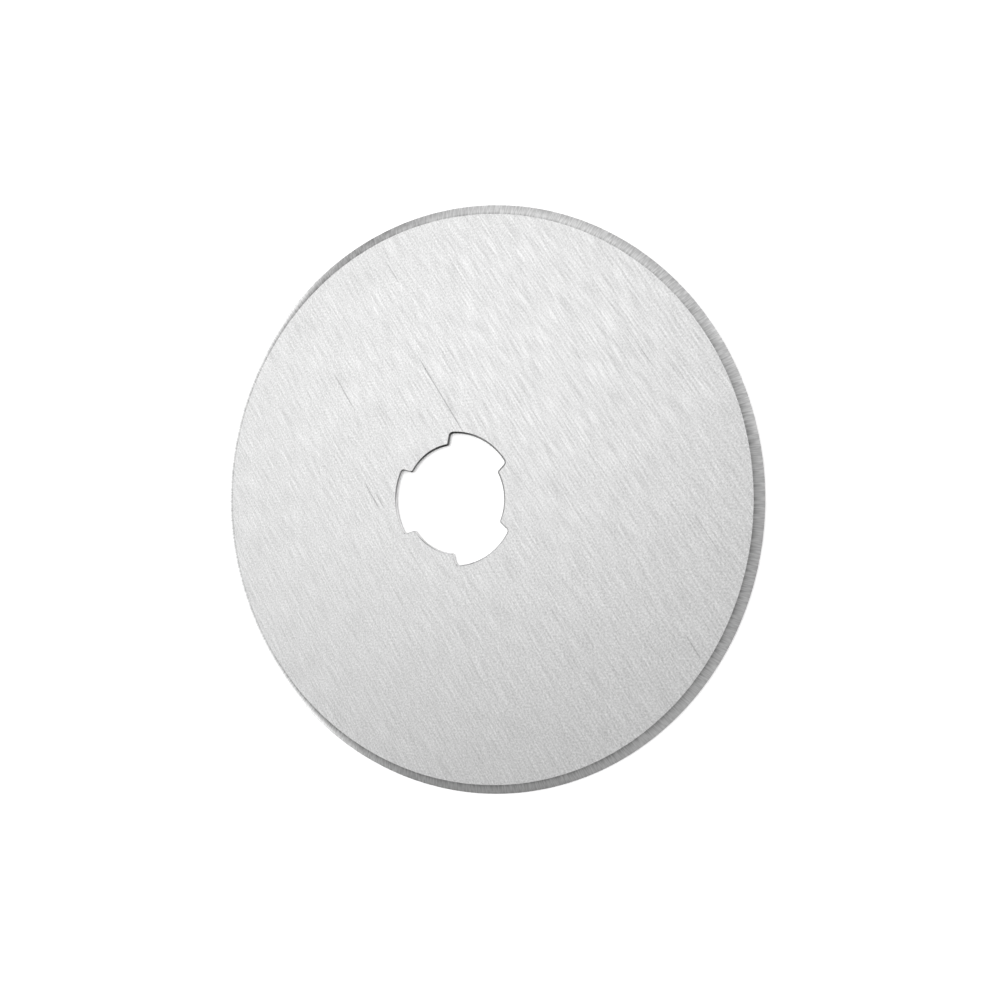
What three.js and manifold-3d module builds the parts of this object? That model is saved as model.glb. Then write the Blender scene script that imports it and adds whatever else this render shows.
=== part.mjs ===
// Blade of a rotary cutter: a thin flat disc of hardened steel, ground to a cutting edge
// from both faces, with a three-lobed hole punched through its centre.
//
// Units are millimetres. The disc lies flat: +Z is its axis, its back face is on z = 0,
// and its front face, the side that the punch entered, is up. One lobe points along +Y.

import * as THREE from 'three';
import { mergeVertices } from 'three/addons/utils/BufferGeometryUtils.js';
import Module from 'manifold-3d';

// The disc.
const DISC_RADIUS = 22.5;
const DISC_THICKNESS = 0.3;
const BEVEL_WIDTH = 0.71;
const RIM_STEPS = 240;

// The hole: three lobes, and between them three lands that centre the blade on its hub.
const LOBE_COUNT = 3;
const LOBE_RADIUS = 5.09;
const LAND_RADIUS = 4.18;
const LOBE_HALF_ANGLE = THREE.MathUtils.degToRad(31.4);
const FLANK_DRAFT = THREE.MathUtils.degToRad(14.5);
const LOBE_FILLET = 0.26;
const LAND_FILLET = 0.22;
const LOBE_STEPS = 9;
const LAND_STEPS = 8;
const FILLET_STEPS = 5;

// The die roll: the punch drew the front edge of the hole down into a small rounding.
const ROLL_WIDTH = 0.11;
const ROLL_DEPTH = 0.09;
const ROLL_STEPS = 3;

// The round hole that the disc starts with, inside the punched one.
const PILOT_RADIUS = 2;

// How far the punch runs past each face.
const PUNCH_OVERSHOOT = 1;

// Vertices closer together than this are one vertex.
const MERGE_DISTANCE = 1e-5;

const wasm = await Module();
wasm.setup();

// Closed mesh -> manifold solid.
function toSolid(geometry) {
  const bare = geometry.clone();
  bare.deleteAttribute('normal');
  bare.deleteAttribute('uv');
  const merged = mergeVertices(bare, MERGE_DISTANCE);
  const mesh = new wasm.Mesh({
    numProp: 3,
    vertProperties: new Float32Array(merged.attributes.position.array),
    triVerts: new Uint32Array(merged.index.array),
  });
  return new wasm.Manifold(mesh);
}

// Manifold solid -> geometry.
function toGeometry(solid) {
  const mesh = solid.getMesh();
  const geometry = new THREE.BufferGeometry();
  geometry.setAttribute('position', new THREE.BufferAttribute(mesh.vertProperties, 3));
  geometry.setIndex(new THREE.BufferAttribute(mesh.triVerts, 1));
  geometry.computeVertexNormals();
  return geometry;
}

// The points of an arc about a centre; from > to runs clockwise.
function arcPoints(centre, radius, from, to, steps) {
  const points = [];
  for (let step = 0; step <= steps; step += 1) {
    const angle = THREE.MathUtils.lerp(from, to, step / steps);
    const spoke = new THREE.Vector2(Math.cos(angle), Math.sin(angle));
    points.push(spoke.multiplyScalar(radius).add(centre));
  }
  return points;
}

// The point on the line start + t * direction, t as large as it can be, at a distance
// from the hole's centre.
function pointAtRadius(start, direction, radius) {
  const along = start.dot(direction);
  const reach = -along + Math.sqrt(along * along - start.lengthSq() + radius * radius);
  return start.clone().addScaledVector(direction, reach);
}

// Half a lobe and half the land beside it, grown outwards by an offset. The lobe's axis
// is +X here. The outline runs anticlockwise: lobe, rounded corner, straight flank,
// rounded corner, land.
function halfLobeOutline(offset) {
  const origin = new THREE.Vector2(0, 0);
  const flankAngle = LOBE_HALF_ANGLE - FLANK_DRAFT;
  const flank = new THREE.Vector2(Math.cos(flankAngle), Math.sin(flankAngle));
  const intoHole = new THREE.Vector2(Math.sin(flankAngle), -Math.cos(flankAngle));
  const middle = (LOBE_RADIUS + LAND_RADIUS) / 2;
  const flankMiddle = new THREE.Vector2(Math.cos(LOBE_HALF_ANGLE), Math.sin(LOBE_HALF_ANGLE));
  flankMiddle.multiplyScalar(middle);

  const lobeStart = flankMiddle.clone().addScaledVector(intoHole, LOBE_FILLET);
  const lobeCorner = pointAtRadius(lobeStart, flank, LOBE_RADIUS - LOBE_FILLET);
  const landStart = flankMiddle.clone().addScaledVector(intoHole, -LAND_FILLET);
  const landCorner = pointAtRadius(landStart, flank, LAND_RADIUS + LAND_FILLET);
  const lobeEnd = lobeCorner.angle();
  const landEnd = landCorner.angle();
  const acrossFlank = flankAngle + Math.PI / 2;
  const land = Math.PI / LOBE_COUNT;

  return [
    ...arcPoints(origin, LOBE_RADIUS + offset, 0, lobeEnd, LOBE_STEPS).slice(0, -1),
    ...arcPoints(lobeCorner, LOBE_FILLET + offset, lobeEnd, acrossFlank, FILLET_STEPS),
    ...arcPoints(landCorner, LAND_FILLET - offset, acrossFlank - Math.PI, landEnd - Math.PI,
      FILLET_STEPS),
    ...arcPoints(origin, LAND_RADIUS + offset, landEnd, land, LAND_STEPS).slice(1),
  ];
}

// The whole outline of the hole, anticlockwise, with its first lobe on +Y.
function holeOutline(offset) {
  const half = halfLobeOutline(offset);
  const mirrored = half.slice(1).reverse().map((point) => new THREE.Vector2(point.x, -point.y));
  const lobe = [...mirrored, ...half].slice(0, -1);
  const centre = new THREE.Vector2(0, 0);
  const outline = [];
  for (let index = 0; index < LOBE_COUNT; index += 1) {
    const turn = Math.PI / 2 + (index * 2 * Math.PI) / LOBE_COUNT;
    outline.push(...lobe.map((point) => point.clone().rotateAround(centre, turn)));
  }
  return outline;
}

// A closed body through outlines stacked upwards, each { height, points }.
function loftGeometry(levels) {
  const count = levels[0].points.length;
  const positions = [];
  for (const { height, points } of levels) {
    for (const point of points) {
      positions.push(point.x, point.y, height);
    }
  }
  const indices = [];
  for (let level = 0; level < levels.length - 1; level += 1) {
    for (let step = 0; step < count; step += 1) {
      const next = (step + 1) % count;
      const low = level * count;
      const high = low + count;
      indices.push(low + step, low + next, high + next);
      indices.push(low + step, high + next, high + step);
    }
  }
  const top = (levels.length - 1) * count;
  for (const [a, b, c] of THREE.ShapeUtils.triangulateShape(levels[0].points, [])) {
    indices.push(a, c, b);
    indices.push(top + a, top + b, top + c);
  }
  const geometry = new THREE.BufferGeometry();
  geometry.setAttribute('position', new THREE.Float32BufferAttribute(positions, 3));
  geometry.setIndex(indices);
  return geometry;
}

// The ground disc, with a round hole smaller than the one that is punched. Each bevel
// runs from its face to the sharp edge, which is half-way through the thickness.
function discGeometry() {
  const flat = DISC_RADIUS - BEVEL_WIDTH;
  const profile = [
    new THREE.Vector2(PILOT_RADIUS, 0),
    new THREE.Vector2(flat, 0),
    new THREE.Vector2(DISC_RADIUS, DISC_THICKNESS / 2),
    new THREE.Vector2(flat, DISC_THICKNESS),
    new THREE.Vector2(PILOT_RADIUS, DISC_THICKNESS),
    new THREE.Vector2(PILOT_RADIUS, 0),
  ];
  const geometry = new THREE.LatheGeometry(profile, RIM_STEPS);
  geometry.rotateX(Math.PI / 2);
  return geometry;
}

// The punch: straight up through the disc, then flaring along a quarter ellipse to the
// width of the die roll at the front face.
function punchGeometry() {
  const levels = [{ height: -PUNCH_OVERSHOOT, points: holeOutline(0) }];
  for (let step = 0; step <= ROLL_STEPS; step += 1) {
    const angle = (step / ROLL_STEPS) * (Math.PI / 2);
    const offset = ROLL_WIDTH * (1 - Math.cos(angle));
    const height = DISC_THICKNESS - ROLL_DEPTH * (1 - Math.sin(angle));
    levels.push({ height, points: holeOutline(offset) });
  }
  levels.push({ height: DISC_THICKNESS + PUNCH_OVERSHOOT, points: holeOutline(ROLL_WIDTH) });
  return loftGeometry(levels);
}

function bladeSteel() {
  return new THREE.MeshStandardMaterial({
    color: 0xcfd1d2,
    metalness: 1,
    roughness: 0.38,
    flatShading: true,
  });
}

function blade() {
  const disc = toSolid(discGeometry());
  const punch = toSolid(punchGeometry());
  const mesh = new THREE.Mesh(toGeometry(disc.subtract(punch)), bladeSteel());
  mesh.name = 'blade';
  return mesh;
}

const group = new THREE.Group();
group.add(blade());

export default group;
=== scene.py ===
"""A rotary cutter's blade: a disc of brushed steel with ground bevels and a punched hole.

The blade lies on a pale floor with its front face up. The CAD node is replaced by one fine
mesh of the same size, with four finishes: brushed on the faces, ground on the bevels,
drawn down smooth round the front of the hole, and sheared down its wall.
"""
import math
import random

import bmesh
import bpy
from mathutils import Matrix, Vector


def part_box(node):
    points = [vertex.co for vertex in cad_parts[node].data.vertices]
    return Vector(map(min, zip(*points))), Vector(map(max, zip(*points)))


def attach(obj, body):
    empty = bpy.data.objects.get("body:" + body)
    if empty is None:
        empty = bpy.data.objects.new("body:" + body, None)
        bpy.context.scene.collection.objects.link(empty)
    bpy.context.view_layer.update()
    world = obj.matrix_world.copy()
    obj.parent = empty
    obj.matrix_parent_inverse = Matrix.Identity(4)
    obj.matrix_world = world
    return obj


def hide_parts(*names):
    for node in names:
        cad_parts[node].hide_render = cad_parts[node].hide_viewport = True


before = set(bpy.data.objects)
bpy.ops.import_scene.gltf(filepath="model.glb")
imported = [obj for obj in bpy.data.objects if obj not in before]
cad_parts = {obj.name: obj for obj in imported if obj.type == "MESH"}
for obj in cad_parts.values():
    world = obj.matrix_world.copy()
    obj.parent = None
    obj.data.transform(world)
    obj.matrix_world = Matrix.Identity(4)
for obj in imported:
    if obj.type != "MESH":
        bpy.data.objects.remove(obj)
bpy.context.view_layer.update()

MM = 0.001
BLADE_LOW, BLADE_HIGH = (Vector(corner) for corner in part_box("blade"))

# The disc, from the CAD node's own box.
DISC_RADIUS = (BLADE_HIGH.x - BLADE_LOW.x) / 2
THICKNESS = BLADE_HIGH.z - BLADE_LOW.z
BEVEL_WIDTH = 0.71 * MM
BEVEL_CROWN = 0.014 * MM

# The line between face and bevel wanders a little: by how much, in how many waves around the
# blade, and the random seeds of the front and the back one.
EDGE_WANDER = 0.006 * MM
EDGE_WAVES = (2, 3, 5, 9, 14, 31, 47)
FRONT_EDGE_SEED = 7
BACK_EDGE_SEED = 8

# The hole, with the CAD part's dimensions.
LOBE_COUNT = 3
LOBE_RADIUS = 5.09 * MM
LAND_RADIUS = 4.18 * MM
LOBE_HALF_ANGLE = math.radians(31.4)
FLANK_DRAFT = math.radians(14.5)
LOBE_FILLET = 0.26 * MM
LAND_FILLET = 0.22 * MM

# The die roll, an arc in section: its width, its slopes where it leaves the face and where it
# meets the wall, how much heavier it is on one side of the hole, and which side that is.
ROLL_WIDTH = 0.11 * MM
ROLL_START = math.radians(30)
ROLL_END = math.radians(48)
ROLL_UNEVEN = 0.35
# The painted shade on the roll's colour is darkest towards this side too.
ROLL_HEAVY_SIDE = math.radians(-45)

# The punched wall below it: burnished down to a depth, then torn to the back face. The torn
# band flares out, and its roughness runs out 1 / TEAR_EASE of the way down it.
BURNISH_END = 0.18 * MM
TEAR_FLARE = 0.010 * MM
TEAR_ROUGH = 0.006 * MM
TEAR_EASE = 1.15
TEAR_SEED = 40

# How finely the blade is meshed: points around it, and rings across each stretch.
LOBE_STEPS = 46
FILLET_STEPS = 11
FLANK_STEPS = 8
LAND_STEPS = 44
FACE_RINGS = 10
FACE_RING_CROWDING = 1.4
BEVEL_RINGS = 6
ROLL_RINGS = 6
BURNISH_RINGS = 3
TEAR_RINGS = 6

# The brushing runs along one lobe's axis, a third of a turn from +Y.
GRAIN_TURN = math.radians(30)

# The longer scratches on the front face, in mm: where each starts and ends along the grain,
# how far it lies across the grain from the axis, and how dark it is. Each is full over a
# share of its length, and fades out to both ends.
SCRATCHES = (
    (2.8, 12.2, -3.5, 0.9),
    (2.7, 5.7, 6.0, 0.9),
    (2.7, 4.5, 5.6, 0.6),
    (10.8, 15.2, 3.6, 0.8),
    (16.9, 19.4, -5.3, 0.6),
    (-0.9, 3.4, -17.8, 0.6),
    (-14.2, -10.2, -14.6, 0.5),
    (-19.2, -16.9, -9.7, 0.7))
SCRATCH_HALF_WIDTH = 0.07
SCRATCH_FULL_SHARE = 0.5

# The grey and the roughness of each finish, before its marks vary them.
FACE_TONE = 0.59
FACE_ROUGHNESS = 0.54
BEVEL_TONE = 0.465
BEVEL_ROUGHNESS = 0.30
# The roll's dark grey is painted shade: the dark line round the hole's edge.
ROLL_SHADE_TONE = 0.31
ROLL_ROUGHNESS = 0.30
WALL_TONE = 0.64
WALL_ROUGHNESS = 0.22

# How deep the marks of each finish are, for its bump.
BRUSH_DEPTH = 0.004 * MM
GRINDING_DEPTH = 0.001 * MM
STREAK_DEPTH = 0.003 * MM
TEAR_DEPTH = 0.006 * MM

# The bevel, in mm: how wide the painted shade along the face is, and how far from the
# cutting edge the painted highlight stops getting lighter.
BEVEL_SHADE_WIDTH = 0.22
BEVEL_HIGHLIGHT_END = 0.15

# The half width, in mm, of the soft line between the burnished and the torn band.
TEAR_BLEND = 0.015

# The studio's floor and the light that comes from everywhere.
FLOOR_HALF_WIDTH = 1.5
FLOOR_GAP = 0.02 * MM
FLOOR_GLOW = 0.28
AMBIENT_LIGHT = 0.43

# The camera, about the point of the front face that it looks at.
CAMERA_AZIMUTH = math.radians(-3.1)
CAMERA_ELEVATION = math.radians(67.87)
CAMERA_ROLL = math.radians(-89.7)
CAMERA_DISTANCE = 2.316 * DISC_RADIUS
CAMERA_AIM = (-0.011 * DISC_RADIUS, -0.1725 * DISC_RADIUS)
LENS_MM = 24.98

# The finishes, as the mesh's material slots.
FACE, BEVEL, ROLL, WALL = range(4)


# ---------------------------------------------------------------- the hole's outline

def arc_points(centre, radius, start, end, steps):
    """Points of an arc about a centre; end < start runs clockwise."""
    points = []
    for step in range(steps + 1):
        angle = start + (end - start) * step / steps
        points.append(centre + radius * Vector((math.cos(angle), math.sin(angle))))
    return points


def point_at_radius(start, direction, radius):
    """The far point on the line start + t * direction that lies on a circle about 0."""
    along = start.dot(direction)
    reach = -along + math.sqrt(along ** 2 - start.length_squared + radius ** 2)
    return start + reach * direction


def half_lobe(offset):
    """Half a lobe and half the land beside it, anticlockwise, with the lobe's axis on +X."""
    origin = Vector((0, 0))
    flank_angle = LOBE_HALF_ANGLE - FLANK_DRAFT
    flank = Vector((math.cos(flank_angle), math.sin(flank_angle)))
    into_hole = Vector((math.sin(flank_angle), -math.cos(flank_angle)))
    middle = (LOBE_RADIUS + LAND_RADIUS) / 2
    flank_middle = middle * Vector((math.cos(LOBE_HALF_ANGLE), math.sin(LOBE_HALF_ANGLE)))

    lobe_corner = point_at_radius(
        flank_middle + LOBE_FILLET * into_hole, flank, LOBE_RADIUS - LOBE_FILLET)
    land_corner = point_at_radius(
        flank_middle - LAND_FILLET * into_hole, flank, LAND_RADIUS + LAND_FILLET)
    lobe_end = math.atan2(lobe_corner.y, lobe_corner.x)
    land_end = math.atan2(land_corner.y, land_corner.x)
    across = flank_angle + math.pi / 2

    lobe = arc_points(origin, LOBE_RADIUS + offset, 0, lobe_end, LOBE_STEPS)
    corner = arc_points(lobe_corner, LOBE_FILLET + offset, lobe_end, across, FILLET_STEPS)
    tooth = arc_points(
        land_corner, LAND_FILLET - offset, across - math.pi, land_end - math.pi, FILLET_STEPS)
    straight = [
        corner[-1].lerp(tooth[0], step / FLANK_STEPS) for step in range(1, FLANK_STEPS)]
    land = arc_points(
        origin, LAND_RADIUS + offset, land_end, math.pi / LOBE_COUNT, LAND_STEPS)
    return lobe[:-1] + corner + straight + tooth + land[1:]


def hole_ring(offset):
    """The whole hole outline, grown by an offset, from the first lobe's axis on +Y."""
    half = half_lobe(offset)
    mirrored = [Vector((point.x, -point.y)) for point in reversed(half[1:-1])]
    third = half + [Matrix.Rotation(2 * math.pi / LOBE_COUNT, 2) @ point for point in mirrored]
    ring = []
    for index in range(LOBE_COUNT):
        turn = Matrix.Rotation(math.pi / 2 + index * 2 * math.pi / LOBE_COUNT, 2)
        ring.extend(turn @ point for point in third)
    return ring


def circle_ring(radius, count):
    """Points of a circle, starting on +Y as the hole outline does."""
    ring = []
    for step in range(count):
        angle = math.pi / 2 + 2 * math.pi * step / count
        ring.append(radius * Vector((math.cos(angle), math.sin(angle))))
    return ring


# ---------------------------------------------------------------- the blade's mesh

def wander(count, seed):
    """A closed random wave: one value for each point around the blade."""
    source = random.Random(seed)
    parts = [
        (wave, source.uniform(0.3, 1) / math.sqrt(len(EDGE_WAVES)), source.uniform(0, math.tau))
        for wave in EDGE_WAVES]
    return [
        EDGE_WANDER * sum(
            height * math.cos(math.tau * wave * step / count + phase)
            for wave, height, phase in parts)
        for step in range(count)]


def rim_ring(count, seed):
    """The line between a face and its bevel: a circle that wanders a little."""
    flat = DISC_RADIUS - BEVEL_WIDTH
    return [
        point * (1 + shift / flat)
        for point, shift in zip(circle_ring(flat, count), wander(count, seed))]


def ring_at(points, height):
    """Lifts a flat ring to a height."""
    return [Vector((point.x, point.y, height)) for point in points]


def face_rings(hole, rim, height):
    """The rings across a flat face, between the hole's edge and the bevel's edge. They lie
    closer together near the hole."""
    rings = []
    for step in range(1, FACE_RINGS):
        share = (step / FACE_RINGS) ** FACE_RING_CROWDING
        rings.append(ring_at([a.lerp(b, share) for a, b in zip(hole, rim)], height))
    return rings


def bevel_ring(share, rim, tip, side):
    """One ring of a bevel, from the face (share 0) to the cutting edge (share 1). The side
    is 1 on the front and -1 on the back. The bevel is a little crowned."""
    drop = THICKNESS / 2 * share - BEVEL_CROWN * math.sin(math.pi * share)
    height = THICKNESS - drop if side > 0 else drop
    return ring_at([a.lerp(b, share) for a, b in zip(rim, tip)], BLADE_LOW.z + height)


def torn_ring(share, seed):
    """One ring of the torn band: flaring out towards the back face, and rough, except at
    its two ends."""
    source = random.Random(seed)
    outline = hole_ring(TEAR_FLARE * share)
    reach = TEAR_ROUGH * math.sin(math.pi * min(share * TEAR_EASE, 1))
    rough = [point * (1 + source.uniform(-0.5, 0.5) * reach / point.length)
             for point in outline]
    top = THICKNESS - BURNISH_END
    return ring_at(rough, BLADE_LOW.z + top * (1 - share))


def roll_ring(slope):
    """One ring of the die roll, where its surface has this slope. The punch stood a little
    off the die's centre, so the roll is heavier on one side."""
    curve = ROLL_WIDTH / (math.sin(ROLL_END) - math.sin(ROLL_START))
    share = (math.sin(ROLL_END) - math.sin(slope)) * curve / ROLL_WIDTH
    drop = (math.cos(ROLL_START) - math.cos(slope)) * curve
    ring = []
    for inner, outer in zip(hole_ring(0), hole_ring(ROLL_WIDTH)):
        side = math.atan2(inner.y, inner.x) - ROLL_HEAVY_SIDE
        weight = 1 + ROLL_UNEVEN * math.cos(side)
        point = inner + (outer - inner) * share * weight
        ring.append(Vector((point.x, point.y, BLADE_HIGH.z - drop * weight)))
    return ring


def wall_rings():
    """The rings down the hole's wall, from the front face to the back face."""
    rings = []
    for step in range(ROLL_RINGS + 1):
        rings.append(roll_ring(ROLL_START + (ROLL_END - ROLL_START) * step / ROLL_RINGS))
    roll_end = rings[-1]
    burnish_end = ring_at(hole_ring(0), BLADE_HIGH.z - BURNISH_END)
    for step in range(1, BURNISH_RINGS + 1):
        share = step / BURNISH_RINGS
        rings.append([a.lerp(b, share) for a, b in zip(roll_end, burnish_end)])
    for step in range(1, TEAR_RINGS + 1):
        rings.append(torn_ring(step / TEAR_RINGS, seed=TEAR_SEED + step))
    return rings


def blade_rings():
    """Every ring of the blade's skin, once round its section, with the finish of the strip
    after each ring and the numbers of the rings that are sharp edges."""
    wall = wall_rings()
    front_hole = [point.xy for point in wall[0]]
    back_hole = [point.xy for point in wall[-1]]
    count = len(front_hole)
    tip = circle_ring(DISC_RADIUS, count)
    front_rim = rim_ring(count, FRONT_EDGE_SEED)
    back_rim = rim_ring(count, BACK_EDGE_SEED)

    front = face_rings(front_hole, front_rim, BLADE_HIGH.z)
    back = face_rings(back_hole, back_rim, BLADE_LOW.z)
    shares = [step / BEVEL_RINGS for step in range(BEVEL_RINGS + 1)]
    front_bevel = [bevel_ring(share, front_rim, tip, 1) for share in shares]
    back_bevel = [bevel_ring(share, back_rim, tip, -1) for share in shares]

    rings = wall[::-1]
    finishes = [WALL] * (len(wall) - 1 - ROLL_RINGS) + [ROLL] * ROLL_RINGS + [FACE]
    sharp = {0, len(wall) - 1 - ROLL_RINGS, len(wall) - 1}
    rings += front
    finishes += [FACE] * len(front)
    sharp.add(len(rings))
    rings += front_bevel
    finishes += [BEVEL] * len(front_bevel)
    sharp.add(len(rings) - 1)
    rings += back_bevel[-2::-1]
    finishes += [BEVEL] * (len(back_bevel) - 2) + [FACE]
    sharp.add(len(rings) - 1)
    rings += back[::-1]
    finishes += [FACE] * len(back)
    return rings, finishes, sharp


def blade_mesh(materials):
    """One closed mesh: the rings joined in turn, and the last to the first."""
    rings, finishes, sharp = blade_rings()
    build = bmesh.new()
    rows = [[build.verts.new(point) for point in ring] for ring in rings]
    count = len(rows[0])
    for index, row in enumerate(rows):
        following = rows[(index + 1) % len(rows)]
        for step in range(count):
            beside = (step + 1) % count
            face = build.faces.new(
                (row[step], row[beside], following[beside], following[step]))
            face.material_index = finishes[index]
            face.smooth = True
    for index in sharp:
        row = rows[index]
        for step in range(count):
            edge = build.edges.get((row[step], row[(step + 1) % count]))
            edge.smooth = False
    bmesh.ops.recalc_face_normals(build, faces=build.faces)
    mesh = bpy.data.meshes.new("blade_steel")
    build.to_mesh(mesh)
    build.free()
    for material in materials:
        mesh.materials.append(material)
    return mesh


# ---------------------------------------------------------------- finishes

class Nodes:
    """A short way to write a node tree. Calls that make a value return its socket."""

    def __init__(self, tree):
        self.tree = tree

    def add(self, kind, **settings):
        """A new node with these settings."""
        node = self.tree.nodes.new(kind)
        for name, value in settings.items():
            setattr(node, name, value)
        return node

    def feed(self, socket, value):
        """Links a value to an input, or sets the input to a plain number."""
        if isinstance(value, bpy.types.NodeSocket):
            self.tree.links.new(value, socket)
        else:
            socket.default_value = value

    def maths(self, operation, first, second=0.0):
        """One step of arithmetic."""
        node = self.add("ShaderNodeMath", operation=operation)
        self.feed(node.inputs[0], first)
        self.feed(node.inputs[1], second)
        return node.outputs[0]

    def total(self, *terms):
        """The sum of (value, weight) pairs."""
        result = 0.0
        for value, weight in terms:
            result = self.maths("ADD", self.maths("MULTIPLY", value, weight), result)
        return result

    def varied(self, base, *terms):
        """A number with (value, weight) variations about it."""
        return self.maths("ADD", self.total(*terms), base)

    def span(self, value, low, high, new_low, new_high):
        """A smooth step from one number to another while the value goes from low to high."""
        node = self.add("ShaderNodeMapRange", interpolation_type="SMOOTHSTEP")
        for socket, number in zip(node.inputs[:5], (value, low, high, new_low, new_high)):
            self.feed(socket, number)
        return node.outputs[0]

    def noise(self, vector, scale, detail, roughness, kind="3D"):
        """Noise about 0, from about -0.5 to 0.5."""
        node = self.add("ShaderNodeTexNoise", noise_dimensions=kind)
        self.feed(node.inputs["Vector"], vector)
        node.inputs["Scale"].default_value = scale
        node.inputs["Detail"].default_value = detail
        node.inputs["Roughness"].default_value = roughness
        return self.maths("SUBTRACT", node.outputs["Fac"], 0.5)

    def mapped(self, vector, turn=0.0, scale=(1, 1, 1), shift=(0, 0, 0)):
        """A vector turned about Z, then scaled, then shifted."""
        turned = self.add("ShaderNodeVectorRotate", rotation_type="Z_AXIS")
        self.feed(turned.inputs["Vector"], vector)
        turned.inputs["Angle"].default_value = turn
        node = self.add("ShaderNodeVectorMath", operation="MULTIPLY_ADD")
        self.feed(node.inputs[0], turned.outputs[0])
        node.inputs[1].default_value = scale
        node.inputs[2].default_value = shift
        return node.outputs[0]

    def split(self, vector):
        """The X, Y and Z of a vector."""
        node = self.add("ShaderNodeSeparateXYZ")
        self.feed(node.inputs[0], vector)
        return node.outputs

    def dot(self, vector, direction):
        """How far a vector reaches along a fixed direction."""
        node = self.add("ShaderNodeVectorMath", operation="DOT_PRODUCT")
        self.feed(node.inputs[0], vector)
        node.inputs[1].default_value = direction
        return node.outputs["Value"]


def steel(name):
    """A new metal material: its nodes, its shader and the object's own coordinates in mm."""
    material = bpy.data.materials.new(name)
    material.use_nodes = True
    nodes = Nodes(material.node_tree)
    shader = material.node_tree.nodes["Principled BSDF"]
    shader.inputs["Metallic"].default_value = 1.0
    place = nodes.add("ShaderNodeTexCoord").outputs["Object"]
    in_mm = nodes.add("ShaderNodeVectorMath", operation="SCALE")
    nodes.feed(in_mm.inputs[0], place)
    in_mm.inputs["Scale"].default_value = 1 / MM
    return material, nodes, shader, in_mm.outputs[0]


def grey(nodes, value):
    """A grey colour from one number."""
    node = nodes.add("ShaderNodeCombineColor")
    for socket in node.inputs[:3]:
        nodes.feed(socket, value)
    return node.outputs[0]


def bump(nodes, height, strength, distance):
    """A normal from a height in units of distance."""
    node = nodes.add("ShaderNodeBump")
    node.inputs["Strength"].default_value = strength
    node.inputs["Distance"].default_value = distance
    nodes.feed(node.inputs["Height"], height)
    return node.outputs[0]


def scratches(nodes, place):
    """The front face's longer scratches: 0 off them, up to 1 on the darkest."""
    along_grain, across_grain, height = nodes.split(nodes.mapped(place, -GRAIN_TURN))
    marks = 0.0
    for start, end, across, darkness in SCRATCHES:
        beside = nodes.maths("ABSOLUTE", nodes.maths("SUBTRACT", across_grain, across))
        line = nodes.span(beside, 0.0, SCRATCH_HALF_WIDTH, darkness, 0.0)
        middle = (start + end) / 2
        half = (end - start) / 2
        along = nodes.maths("ABSOLUTE", nodes.maths("SUBTRACT", along_grain, middle))
        reach = nodes.span(along, half * SCRATCH_FULL_SHARE, half, 1.0, 0.0)
        marks = nodes.maths("MAXIMUM", nodes.maths("MULTIPLY", line, reach), marks)
    front = nodes.maths("GREATER_THAN", height, THICKNESS / 2 / MM)
    return nodes.maths("MULTIPLY", marks, front)


def brushed_face():
    """Long fine straight brush marks and a speckle, with a few darker scratches."""
    material, nodes, shader, place = steel("brushed_face")

    def brushed(along, across, detail=0.0, turn=0.0, shift=(0, 0, 0)):
        """Noise drawn out along the grain: both numbers are marks to a millimetre."""
        vector = nodes.mapped(place, turn - GRAIN_TURN, (along, across, 1), shift)
        return nodes.noise(vector, 1.0, detail, 0.75, kind="2D")

    hair = brushed(0.38, 7.5, detail=1.0)
    crossing = brushed(0.4, 6.0, turn=math.radians(-7), shift=(3.1, 8.4, 2.0))
    bands = brushed(0.18, 3.0)
    speckle = nodes.noise(place, 7.0, 1.0, 0.8, kind="2D")
    long_marks = scratches(nodes, place)
    tone = nodes.varied(
        FACE_TONE,
        (hair, 0.18), (crossing, 0.04), (bands, 0.02), (speckle, 0.40), (long_marks, -0.26))
    nodes.feed(shader.inputs["Base Color"], grey(nodes, tone))
    roughness = nodes.varied(
        FACE_ROUGHNESS, (hair, -0.12), (speckle, 0.15), (long_marks, 0.06))
    nodes.feed(shader.inputs["Roughness"], roughness)
    height = nodes.total((hair, 0.8), (bands, 0.4), (speckle, 0.4), (long_marks, -0.5))
    nodes.feed(shader.inputs["Normal"], bump(nodes, height, 0.25, BRUSH_DEPTH))
    return material


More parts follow.
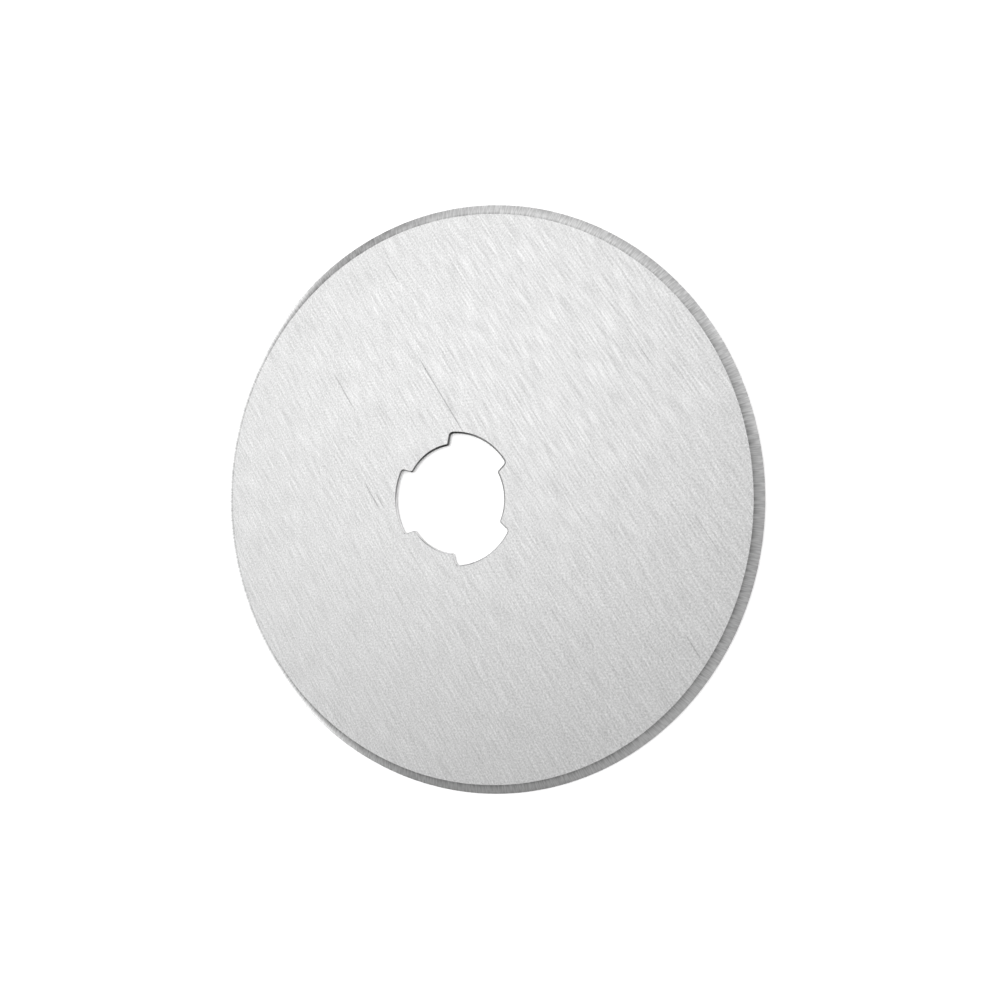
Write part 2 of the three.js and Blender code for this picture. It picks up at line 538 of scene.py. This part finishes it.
def ground_bevel():
    """Fine radial grinding marks, with painted shade where the grinding starts and a painted
    highlight towards the cutting edge.
    """
    material, nodes, shader, place = steel("ground_bevel")
    x, y, z = nodes.split(place)
    around = nodes.maths("ARCTAN2", y, x)
    length = nodes.add("ShaderNodeVectorMath", operation="LENGTH")
    nodes.feed(length.inputs[0], nodes.mapped(place, scale=(1, 1, 0)))
    radius = length.outputs["Value"]
    edge = DISC_RADIUS / MM

    # Millimetres along the edge and outwards. The squeezed radius draws the marks out
    # across the bevel.
    polar = nodes.add("ShaderNodeCombineXYZ")
    nodes.feed(polar.inputs[0], nodes.maths("MULTIPLY", around, edge))
    nodes.feed(polar.inputs[1], nodes.maths("MULTIPLY", radius, 0.1))
    nodes.feed(polar.inputs[2], nodes.maths("MULTIPLY", z, 0.5))
    marks = nodes.span(nodes.noise(polar.outputs[0], 9.5, 1.0, 0.6), -0.22, 0.22, -0.5, 0.5)
    bands = nodes.noise(polar.outputs[0], 0.6, 2.0, 0.5)

    start = edge - BEVEL_WIDTH / MM
    # Painted highlight: the bevel grows lighter towards the cutting edge.
    bevel_highlight = nodes.span(radius, start, edge - BEVEL_HIGHLIGHT_END, 0.0, 1.0)
    # Painted shade: a darker zone along the bevel's inner edge.
    bevel_shade = nodes.span(radius, start, start + BEVEL_SHADE_WIDTH, 1.0, 0.0)
    tone = nodes.varied(BEVEL_TONE, (marks, 0.19), (bands, 0.10), (bevel_highlight, 0.22), (bevel_shade, -0.10))
    nodes.feed(shader.inputs["Base Color"], grey(nodes, tone))
    nodes.feed(shader.inputs["Roughness"], nodes.varied(BEVEL_ROUGHNESS, (marks, 0.05)))
    nodes.feed(shader.inputs["Normal"], bump(nodes, marks, 0.15, GRINDING_DEPTH))
    return material


def punch_streaks(nodes, place):
    """Streaks that the punch drew up and down the hole's wall."""
    return nodes.noise(nodes.mapped(place, scale=(9.0, 9.0, 1.2)), 1.0, 2.0, 0.6)


def rolled_edge_painted_shade():
    """The die roll: smooth, with a dark grey that is painted shade for the dark line round the
    hole's edge, darkest on the side where the punch drew it deeper.
    """
    material, nodes, shader, place = steel("rolled_edge_painted_shade")
    outward = nodes.add("ShaderNodeVectorMath", operation="NORMALIZE")
    nodes.feed(outward.inputs[0], place)
    darkest_shade_side = (math.cos(ROLL_HEAVY_SIDE), math.sin(ROLL_HEAVY_SIDE), 0)
    roll_side_shade = nodes.dot(outward.outputs[0], darkest_shade_side)
    streaks = punch_streaks(nodes, place)
    # Painted shade: a dark grey, darker still towards the roll's heavy side.
    tone = nodes.varied(ROLL_SHADE_TONE, (roll_side_shade, -0.18), (streaks, 0.10))
    nodes.feed(shader.inputs["Base Color"], grey(nodes, tone))
    nodes.feed(shader.inputs["Roughness"], nodes.varied(ROLL_ROUGHNESS, (streaks, 0.1)))
    nodes.feed(shader.inputs["Normal"], bump(nodes, streaks, 0.3, STREAK_DEPTH))
    return material


def punched_wall():
    """The hole's wall: bright where the punch burnished it, dull and grainy where the
    steel tore."""
    material, nodes, shader, place = steel("punched_wall")
    grain = nodes.noise(place, 22.0, 3.0, 0.6)
    streaks = punch_streaks(nodes, place)
    level = nodes.varied(nodes.split(place)["Z"], (streaks, 0.05))
    tear = (BLADE_HIGH.z - BURNISH_END) / MM
    torn = nodes.span(level, tear - TEAR_BLEND, tear + TEAR_BLEND, 1.0, 0.0)
    tone = nodes.varied(WALL_TONE, (torn, -0.06), (streaks, 0.10), (grain, 0.06))
    nodes.feed(shader.inputs["Base Color"], grey(nodes, tone))
    roughness = nodes.varied(WALL_ROUGHNESS, (torn, 0.30), (streaks, 0.1))
    nodes.feed(shader.inputs["Roughness"], roughness)
    height = nodes.total((nodes.maths("MULTIPLY", grain, torn), 1.0), (streaks, 0.3))
    nodes.feed(shader.inputs["Normal"], bump(nodes, height, 0.5, TEAR_DEPTH))
    return material


def blade():
    """The blade's looks, in place of its CAD node."""
    mesh = blade_mesh([brushed_face(), ground_bevel(), rolled_edge_painted_shade(), punched_wall()])
    piece = bpy.data.objects.new("blade_steel", mesh)
    bpy.context.scene.collection.objects.link(piece)
    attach(piece, "root")
    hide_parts("blade")


# ---------------------------------------------------------------- the studio

def floor():
    """A large white floor, just under the blade. It glows a little, because the photo is
    cut out on white and shows no shadow."""
    half = FLOOR_HALF_WIDTH
    low = BLADE_LOW.z - FLOOR_GAP
    mesh = bpy.data.meshes.new("studio_floor")
    corners = [(-half, -half, low), (half, -half, low), (half, half, low), (-half, half, low)]
    mesh.from_pydata(corners, [], [(0, 1, 2, 3)])
    material = bpy.data.materials.new("studio_floor")
    material.use_nodes = True
    shader = material.node_tree.nodes["Principled BSDF"]
    shader.inputs["Base Color"].default_value = (0.9, 0.9, 0.9, 1)
    shader.inputs["Roughness"].default_value = 0.9
    shader.inputs["Specular IOR Level"].default_value = 0.0
    shader.inputs["Emission Color"].default_value = (1, 1, 1, 1)
    shader.inputs["Emission Strength"].default_value = FLOOR_GLOW
    mesh.materials.append(material)
    piece = bpy.data.objects.new("studio_floor", mesh)
    bpy.context.scene.collection.objects.link(piece)


def studio_world():
    """Soft light from all round: a softbox overhead, a low panel behind the blade, cards
    beside and before it, and dark patches between them. The camera sees plain white."""
    world = bpy.data.worlds.new("studio")
    world.use_nodes = True
    nodes = Nodes(world.node_tree)
    background = world.node_tree.nodes["Background"]
    direction = nodes.add("ShaderNodeTexCoord").outputs["Generated"]

    def patch(azimuth, elevation, inner, outer, brightness):
        """A round patch of light: full out to the inner angle, gone at the outer one.
        Angles are in degrees, and azimuth 0 is +Y, 90 is +X. A dark patch takes light away."""
        turn = math.radians(azimuth)
        lift = math.radians(elevation)
        middle = (
            math.sin(turn) * math.cos(lift), math.cos(turn) * math.cos(lift), math.sin(lift))
        angle = nodes.maths("ARCCOSINE", nodes.dot(direction, middle))
        return nodes.span(
            angle, math.radians(inner), math.radians(outer), brightness, 0.0)

    overhead = patch(46, 64.5, 7.5, 34.5, 2.3)
    high_fill = patch(-30, 66, 4, 20, 0.75)
    low_panel = nodes.maths(
        "MAXIMUM", patch(16, -2, 27, 34, 2.0), patch(-16, -2, 27, 34, 2.2))
    far_fill = patch(3, 48, 8, 26, 0.5)
    side_card = patch(75, 2, 15, 28, 2.2)
    front_card = patch(150, 20, 28, 38, 1.4)
    dark_side = patch(-90, 5, 28, 40, -0.38)
    dark_corner = patch(-55, -8, 30, 40, -0.38)
    dark_gap = patch(45, 29, 5, 26, -0.36)
    side_fill = patch(-105, 58, 5, 36, 0.13)
    light = nodes.total(*((part, 1) for part in (
        overhead, high_fill, far_fill, side_fill, low_panel, side_card, front_card,
        dark_side, dark_corner, dark_gap)))
    seen = nodes.add("ShaderNodeLightPath").outputs["Is Camera Ray"]
    strength = nodes.maths("ADD", light, AMBIENT_LIGHT)
    nodes.feed(background.inputs["Strength"], nodes.maths("MAXIMUM", strength, seen))
    background.inputs["Color"].default_value = (1, 1, 1, 1)
    bpy.context.scene.world = world


def camera():
    """A close wide view from above, rolled a quarter turn."""
    back = Vector((
        math.sin(CAMERA_AZIMUTH) * math.cos(CAMERA_ELEVATION),
        -math.cos(CAMERA_AZIMUTH) * math.cos(CAMERA_ELEVATION),
        math.sin(CAMERA_ELEVATION)))
    level = Vector((math.cos(CAMERA_AZIMUTH), math.sin(CAMERA_AZIMUTH), 0))
    frame_axes = Matrix((level, back.cross(level), back)).transposed()
    data = bpy.data.cameras.new("camera")
    data.lens = LENS_MM
    data.clip_start = 1 * MM
    view = bpy.data.objects.new("camera", data)
    bpy.context.scene.collection.objects.link(view)
    aim = Vector((*CAMERA_AIM, BLADE_HIGH.z))
    turned = frame_axes @ Matrix.Rotation(CAMERA_ROLL, 3, "Z")
    view.matrix_world = Matrix.Translation(aim + CAMERA_DISTANCE * back) @ turned.to_4x4()
    bpy.context.scene.camera = view


blade()
floor()
studio_world()
camera()
bpy.context.scene.view_settings.view_transform = "Standard"
